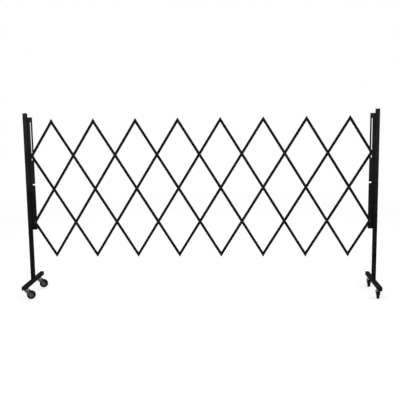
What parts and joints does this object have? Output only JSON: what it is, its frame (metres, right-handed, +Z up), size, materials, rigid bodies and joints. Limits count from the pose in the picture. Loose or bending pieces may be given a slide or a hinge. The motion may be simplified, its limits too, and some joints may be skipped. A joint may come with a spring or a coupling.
{
  "type": "expanding lattice barrier",
  "caption": "Expanding barrier: crossed flat slats riveted into a folding lattice between wheeled posts, with slotted guide plates and swivel castors.",
  "frame": {"origin": "on the floor, under the middle of the barrier", "axes": "+X along the barrier to the viewer's right, +Y away from the viewer, +Z up"},
  "size_m": [1.9955, 0.35, 1.042],
  "materials": {
    "frame_paint": "satin black powder coat",
    "slat_paint": "satin black paint",
    "rivet_paint": "black paint, rubbed at the crown",
    "pivot_steel": "dark plated steel",
    "cap_plastic": "fine moulded grain",
    "castor_steel": "zinc-plated pressing",
    "wheel_rubber": "moulded black"
  },
  "bodies": {
    "left_stand": {"left_post_tube": "frame_paint", "left_post_cap": "cap_plastic", "left_guide_plate": "frame_paint", "left_foot_tube": "frame_paint", "left_foot_plugs": "cap_plastic", "left_castor_studs": "castor_steel", "left_pivot_bolt": "pivot_steel"},
    "right_stand": {"right_post_tube": "frame_paint", "right_post_cap": "cap_plastic", "right_guide_plate": "frame_paint", "right_foot_tube": "frame_paint", "right_foot_plugs": "cap_plastic", "right_castor_studs": "castor_steel", "right_pivot_bolt": "pivot_steel"},
    "rising_01": {"rising_slat_01": "slat_paint", "rivets_01": "rivet_paint", "left_slider": "rivet_paint"},
    "falling_01": {"falling_slat_01": "slat_paint"},
    "rising_02": {"rising_slat_02": "slat_paint", "rivets_02": "rivet_paint"},
    "falling_02": {"falling_slat_02": "slat_paint"},
    "rising_03": {"rising_slat_03": "slat_paint", "rivets_03": "rivet_paint"},
    "falling_03": {"falling_slat_03": "slat_paint"},
    "rising_04": {"rising_slat_04": "slat_paint", "rivets_04": "rivet_paint"},
    "falling_04": {"falling_slat_04": "slat_paint"},
    "rising_05": {"rising_slat_05": "slat_paint", "rivets_05": "rivet_paint"},
    "falling_05": {"falling_slat_05": "slat_paint"},
    "rising_06": {"rising_slat_06": "slat_paint", "rivets_06": "rivet_paint"},
    "falling_06": {"falling_slat_06": "slat_paint"},
    "rising_07": {"rising_slat_07": "slat_paint", "rivets_07": "rivet_paint"},
    "falling_07": {"falling_slat_07": "slat_paint"},
    "rising_08": {"rising_slat_08": "slat_paint", "rivets_08": "rivet_paint"},
    "falling_08": {"falling_slat_08": "slat_paint"},
    "rising_09": {"rising_slat_09": "slat_paint", "rivets_09": "rivet_paint", "right_slider": "rivet_paint"},
    "falling_09": {"falling_slat_09": "slat_paint"},
    "rising_10": {"rising_slat_10": "slat_paint", "rivets_10": "rivet_paint"},
    "falling_10": {"falling_slat_10": "slat_paint"},
    "left_front_castor": {"left_front_fork": "castor_steel", "left_front_axle": "castor_steel"},
    "left_front_roller": {"left_front_wheel": "wheel_rubber"},
    "left_rear_castor": {"left_rear_fork": "castor_steel", "left_rear_axle": "castor_steel"},
    "left_rear_roller": {"left_rear_wheel": "wheel_rubber"},
    "right_front_castor": {"right_front_fork": "castor_steel", "right_front_axle": "castor_steel"},
    "right_front_roller": {"right_front_wheel": "wheel_rubber"},
    "right_rear_castor": {"right_rear_fork": "castor_steel", "right_rear_axle": "castor_steel"},
    "right_rear_roller": {"right_rear_wheel": "wheel_rubber"}
  },
  "joints": [
    {"name": "lattice_fold", "type": "hinge", "parent": "left_stand", "child": "rising_02", "pos_m": [-0.95119, 0, 0.421], "axis": [0, -1, 0], "range_deg": [-5.97, 27.75]},
    {"name": "falling_01_pivot", "type": "hinge", "parent": "left_stand", "child": "falling_01", "pos_m": [-0.95119, 0, 0.421], "axis": [0, -1, 0], "range_deg": [-27.75, 5.97]},
    {"name": "falling_02_pivot", "type": "hinge", "parent": "rising_02", "child": "falling_02", "pos_m": [-0.83229, 0, 0.61202], "axis": [0, -1, 0], "range_deg": [-55.5, 11.94]},
    {"name": "falling_03_pivot", "type": "hinge", "parent": "rising_02", "child": "falling_03", "pos_m": [-0.71339, 0, 0.80304], "axis": [0, -1, 0], "range_deg": [-55.5, 11.94]},
    {"name": "falling_04_pivot", "type": "hinge", "parent": "rising_02", "child": "falling_04", "pos_m": [-0.59449, 0, 0.99406], "axis": [0, -1, 0], "range_deg": [-55.5, 11.94]},
    {"name": "rising_01_pivot", "type": "hinge", "parent": "falling_02", "child": "rising_01", "pos_m": [-0.95119, 0, 0.80304], "axis": [0, -1, 0], "range_deg": [-11.94, 55.5]},
    {"name": "rising_03_pivot", "type": "hinge", "parent": "falling_04", "child": "rising_03", "pos_m": [-0.47559, 0, 0.80304], "axis": [0, -1, 0], "range_deg": [-11.94, 55.5]},
    {"name": "rising_04_pivot", "type": "hinge", "parent": "falling_04", "child": "rising_04", "pos_m": [-0.3567, 0, 0.61202], "axis": [0, -1, 0], "range_deg": [-11.94, 55.5]},
    {"name": "rising_05_pivot", "type": "hinge", "parent": "falling_04", "child": "rising_05", "pos_m": [-0.2378, 0, 0.421], "axis": [0, -1, 0], "range_deg": [-11.94, 55.5]},
    {"name": "rising_06_pivot", "type": "hinge", "parent": "falling_04", "child": "rising_06", "pos_m": [-0.1189, 0, 0.22998], "axis": [0, -1, 0], "range_deg": [-11.94, 55.5]},
    {"name": "falling_05_pivot", "type": "hinge", "parent": "rising_06", "child": "falling_05", "pos_m": [0, 0, 0.421], "axis": [0, -1, 0], "range_deg": [-55.5, 11.94]},
    {"name": "falling_06_pivot", "type": "hinge", "parent": "rising_06", "child": "falling_06", "pos_m": [0.1189, 0, 0.61202], "axis": [0, -1, 0], "range_deg": [-55.5, 11.94]},
    {"name": "falling_07_pivot", "type": "hinge", "parent": "rising_06", "child": "falling_07", "pos_m": [0.2378, 0, 0.80304], "axis": [0, -1, 0], "range_deg": [-55.5, 11.94]},
    {"name": "falling_08_pivot", "type": "hinge", "parent": "rising_06", "child": "falling_08", "pos_m": [0.3567, 0, 0.99406], "axis": [0, -1, 0], "range_deg": [-55.5, 11.94]},
    {"name": "rising_07_pivot", "type": "hinge", "parent": "falling_08", "child": "rising_07", "pos_m": [0.47559, 0, 0.80304], "axis": [0, -1, 0], "range_deg": [-11.94, 55.5]},
    {"name": "rising_08_pivot", "type": "hinge", "parent": "falling_08", "child": "rising_08", "pos_m": [0.59449, 0, 0.61202], "axis": [0, -1, 0], "range_deg": [-11.94, 55.5]},
    {"name": "rising_09_pivot", "type": "hinge", "parent": "falling_08", "child": "rising_09", "pos_m": [0.71339, 0, 0.421], "axis": [0, -1, 0], "range_deg": [-11.94, 55.5]},
    {"name": "rising_10_pivot", "type": "hinge", "parent": "falling_08", "child": "rising_10", "pos_m": [0.83229, 0, 0.22998], "axis": [0, -1, 0], "range_deg": [-11.94, 55.5]},
    {"name": "falling_09_pivot", "type": "hinge", "parent": "rising_08", "child": "falling_09", "pos_m": [0.71339, 0, 0.80304], "axis": [0, -1, 0], "range_deg": [-55.5, 11.94]},
    {"name": "falling_10_pivot", "type": "hinge", "parent": "rising_08", "child": "falling_10", "pos_m": [0.83229, 0, 0.99406], "axis": [0, -1, 0], "range_deg": [-55.5, 11.94]},
    {"name": "right_stand_pivot", "type": "hinge", "parent": "rising_10", "child": "right_stand", "pos_m": [0.95119, 0, 0.421], "axis": [0, -1, 0], "range_deg": [-27.75, 5.97]},
    {"name": "left_front_swivel", "type": "hinge", "parent": "left_stand", "child": "left_front_castor", "pos_m": [-0.98039, -0.12, 0], "axis": [0, 0, 1], "continuous": true},
    {"name": "left_front_spin", "type": "hinge", "parent": "left_front_castor", "child": "left_front_roller", "pos_m": [-0.95639, -0.12, 0.025], "axis": [0, 1, 0], "continuous": true},
    {"name": "left_rear_swivel", "type": "hinge", "parent": "left_stand", "child": "left_rear_castor", "pos_m": [-0.98039, 0.12, 0], "axis": [0, 0, 1], "continuous": true},
    {"name": "left_rear_spin", "type": "hinge", "parent": "left_rear_castor", "child": "left_rear_roller", "pos_m": [-0.95639, 0.12, 0.025], "axis": [0, 1, 0], "continuous": true},
    {"name": "right_front_swivel", "type": "hinge", "parent": "right_stand", "child": "right_front_castor", "pos_m": [0.98039, -0.12, 0], "axis": [0, 0, 1], "continuous": true},
    {"name": "right_front_spin", "type": "hinge", "parent": "right_front_castor", "child": "right_front_roller", "pos_m": [0.98579, -0.09662, 0.025], "axis": [-0.9744, 0.225, 0], "continuous": true},
    {"name": "right_rear_swivel", "type": "hinge", "parent": "right_stand", "child": "right_rear_castor", "pos_m": [0.98039, 0.12, 0], "axis": [0, 0, 1], "continuous": true},
    {"name": "right_rear_spin", "type": "hinge", "parent": "right_rear_castor", "child": "right_rear_roller", "pos_m": [0.98579, 0.14338, 0.025], "axis": [-0.9744, 0.225, 0], "continuous": true}
  ],
  "couplings": [
    {"joint": "falling_01_pivot", "follows": "lattice_fold", "ratio": -1},
    {"joint": "falling_02_pivot", "follows": "lattice_fold", "ratio": -2},
    {"joint": "falling_03_pivot", "follows": "lattice_fold", "ratio": -2},
    {"joint": "falling_04_pivot", "follows": "lattice_fold", "ratio": -2},
    {"joint": "rising_01_pivot", "follows": "lattice_fold", "ratio": 2},
    {"joint": "rising_03_pivot", "follows": "lattice_fold", "ratio": 2},
    {"joint": "rising_04_pivot", "follows": "lattice_fold", "ratio": 2},
    {"joint": "rising_05_pivot", "follows": "lattice_fold", "ratio": 2},
    {"joint": "rising_06_pivot", "follows": "lattice_fold", "ratio": 2},
    {"joint": "falling_05_pivot", "follows": "lattice_fold", "ratio": -2},
    {"joint": "falling_06_pivot", "follows": "lattice_fold", "ratio": -2},
    {"joint": "falling_07_pivot", "follows": "lattice_fold", "ratio": -2},
    {"joint": "falling_08_pivot", "follows": "lattice_fold", "ratio": -2},
    {"joint": "rising_07_pivot", "follows": "lattice_fold", "ratio": 2},
    {"joint": "rising_08_pivot", "follows": "lattice_fold", "ratio": 2},
    {"joint": "rising_09_pivot", "follows": "lattice_fold", "ratio": 2},
    {"joint": "rising_10_pivot", "follows": "lattice_fold", "ratio": 2},
    {"joint": "falling_09_pivot", "follows": "lattice_fold", "ratio": -2},
    {"joint": "falling_10_pivot", "follows": "lattice_fold", "ratio": -2},
    {"joint": "right_stand_pivot", "follows": "lattice_fold", "ratio": -1}
  ]
}
